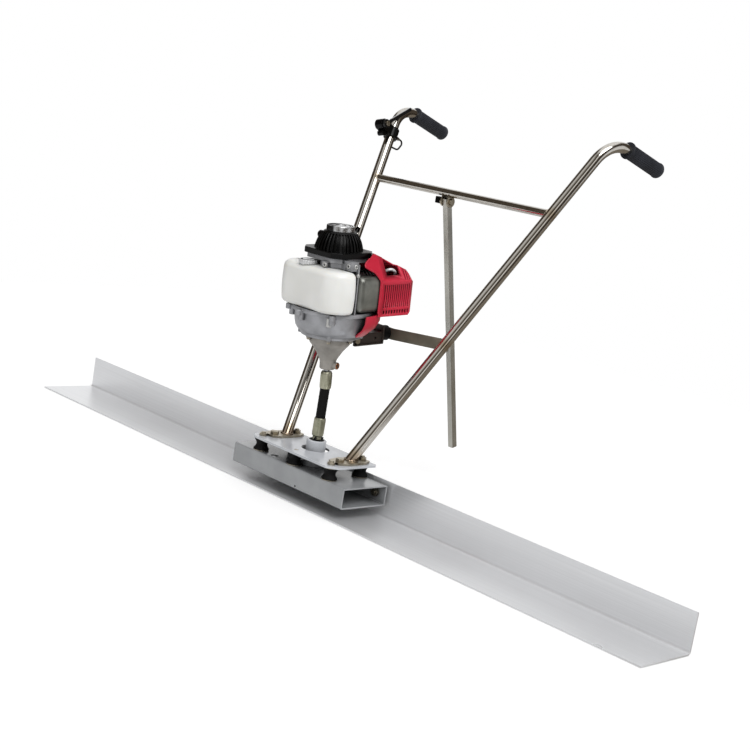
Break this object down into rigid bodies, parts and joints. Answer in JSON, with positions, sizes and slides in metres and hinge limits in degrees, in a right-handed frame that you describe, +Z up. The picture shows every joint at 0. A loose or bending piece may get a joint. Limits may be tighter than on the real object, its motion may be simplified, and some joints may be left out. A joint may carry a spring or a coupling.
{
  "type": "power screed",
  "caption": "Walk-behind vibrating concrete screed: petrol engine on a hose drive turns an eccentric in a box beam on a long aluminium board, with raked handles and a prop leg",
  "frame": {"origin": "on the sole of the board, straight below the eccentric shaft", "axes": "+X along the board to the operator's right hand when the operator faces -Y, +Y from the board towards the operator, +Z up"},
  "size_m": [2, 0.7249, 0.896],
  "materials": {
    "board_aluminium": "bright rolled aluminium, brushed lengthwise",
    "box_paint": "mid grey satin enamel",
    "plate_paint": "light grey satin enamel",
    "zinc_steel": "warm zinc plate",
    "black_rubber": "black moulded rubber",
    "bearing_steel": "ground steel",
    "dark_steel": "black oxide",
    "cast_iron": "machined cast iron",
    "ferrule_zinc": "yellow-green passivated zinc",
    "cone_casting": "shot-blasted casting, warm grey",
    "cast_aluminium": "die-cast aluminium",
    "tank_plastic": "translucent white plastic, satin",
    "silver_plastic": "silver plastic",
    "muffler_steel": "warm dark grey heat-proof paint",
    "black_plastic": "black moulded plastic",
    "red_plastic": "red moulded plastic",
    "rope_fabric": "braided cord",
    "bracket_paint": "dark brown enamel",
    "stainless_tube": "polished stainless tube with heat tint at the welds",
    "bar_paint": "olive grey enamel",
    "grip_rubber": "charcoal ribbed rubber",
    "lever_steel": "black lever with a bare edge",
    "cable_sheath": "black cable sheath",
    "stand_paint": "grey enamel"
  },
  "bodies": {
    "chassis": {"air_cleaner": "black_plastic", "ball_bearings": "bearing_steel", "bearing_housing": "plate_paint", "box_spacers": "zinc_steel", "carburettor": "cast_aluminium", "crankcase": "cast_aluminium", "cylinder": "cast_aluminium", "drive_cone": "cone_casting", "engine_bolts": "zinc_steel", "engine_bracket": "bracket_paint", "engine_shroud": "red_plastic", "exciter_box": "box_paint", "fan_cover": "cast_aluminium", "frame_fasteners": "zinc_steel", "fuel_tank": "tank_plastic", "handle_flanges": "zinc_steel", "handle_grips": "grip_rubber", "housing_bolts": "zinc_steel", "kickstand_bolt": "zinc_steel", "kickstand_bracket": "zinc_steel", "kickstand_cap": "black_plastic", "left_handle": "stainless_tube", "lower_crossbar": "bar_paint", "muffler": "muffler_steel", "output_bearings": "bearing_steel", "plug_cap": "black_rubber", "rear_buffer": "black_rubber", "right_handle": "stainless_tube", "rubber_mounts": "black_rubber", "screed_board": "board_aluminium", "shaft_seal": "black_rubber", "spark_plug": "zinc_steel", "starter_badge": "silver_plastic", "starter_cover": "black_plastic", "starter_rope": "rope_fabric", "throttle_cable": "cable_sheath", "throttle_clamp": "black_plastic", "throttle_screw": "zinc_steel", "upper_crossbar": "stainless_tube", "upper_plate": "plate_paint"},
    "exciter_rotor": {"eccentric_shaft": "bearing_steel", "eccentric_weight": "cast_iron", "weight_screw": "zinc_steel", "lower_ferrule": "ferrule_zinc", "ferrule_screws": "dark_steel", "drive_hose": "black_rubber"},
    "clutch_output": {"upper_ferrule": "ferrule_zinc", "output_shaft": "bearing_steel", "clutch_drum": "bearing_steel"},
    "crank": {"crankshaft": "bearing_steel", "flywheel_fan": "cast_aluminium", "clutch_shoes": "cast_iron"},
    "piston_body": {"piston": "cast_aluminium"},
    "starter_reel": {"starter_pulley": "black_plastic"},
    "starter_handle": {"starter_grip": "black_plastic"},
    "fuel_cap_body": {"fuel_cap": "silver_plastic"},
    "throttle_lever_body": {"throttle_lever": "lever_steel"},
    "throttle_arm_body": {"throttle_arm": "zinc_steel"},
    "kickstand": {"kickstand_leg": "stand_paint"},
    "switch_body": {"stop_switch": "red_plastic"}
  },
  "joints": [
    {"name": "exciter_spin", "type": "hinge", "parent": "chassis", "child": "exciter_rotor", "pos_m": [0, 0, 0.1], "axis": [0, 0, 1], "continuous": true},
    {"name": "output_spin", "type": "hinge", "parent": "chassis", "child": "clutch_output", "pos_m": [0, 0, 0.2545], "axis": [0, -0.0819, 0.9966], "continuous": true},
    {"name": "crank_spin", "type": "hinge", "parent": "chassis", "child": "crank", "pos_m": [0, -0.01889, 0.48423], "axis": [0, -0.0819, 0.9966], "continuous": true},
    {"name": "piston_stroke", "type": "slide", "parent": "chassis", "child": "piston_body", "axis": [0, 0.9966, 0.0819], "range_m": [-0.026, 0]},
    {"name": "starter_spin", "type": "hinge", "parent": "chassis", "child": "starter_reel", "pos_m": [0, -0.02741, 0.58788], "axis": [0, -0.0819, 0.9966], "range_deg": [0, 1520], "stiffness_Nm_per_rad": 0.004},
    {"name": "starter_pull", "type": "slide", "parent": "chassis", "child": "starter_handle", "axis": [-1, 0, 0], "range_m": [0, 0.6]},
    {"name": "fuel_cap_turn", "type": "hinge", "parent": "chassis", "child": "fuel_cap_body", "pos_m": [-0.023, -0.08677, 0.52881], "axis": [0, -0.0819, 0.9966], "range_deg": [0, 360]},
    {"name": "throttle_lever_swing", "type": "hinge", "parent": "chassis", "child": "throttle_lever_body", "pos_m": [-0.3146, 0.34397, 0.84149], "axis": [0.9689, 0.1175, 0.218], "range_deg": [0, 50]},
    {"name": "throttle_arm_swing", "type": "hinge", "parent": "chassis", "child": "throttle_arm_body", "pos_m": [-0.07, 0.04801, 0.52484], "axis": [0, -0.0819, 0.9966], "range_deg": [-50, 0]},
    {"name": "kickstand_swing", "type": "hinge", "parent": "chassis", "child": "kickstand", "pos_m": [-0.032, 0.32587, 0.6915], "axis": [1, 0, 0], "range_deg": [-40.5, 0]},
    {"name": "stop_switch_slide", "type": "slide", "parent": "chassis", "child": "switch_body", "axis": [0, 0.9966, 0.0819], "range_m": [0, 0.0065]}
  ],
  "couplings": [
    {"joint": "output_spin", "follows": "exciter_spin", "ratio": 1},
    {"joint": "starter_pull", "follows": "starter_spin", "m_per_rad": 0.0225},
    {"joint": "throttle_arm_swing", "follows": "throttle_lever_swing", "ratio": -1}
  ]
}
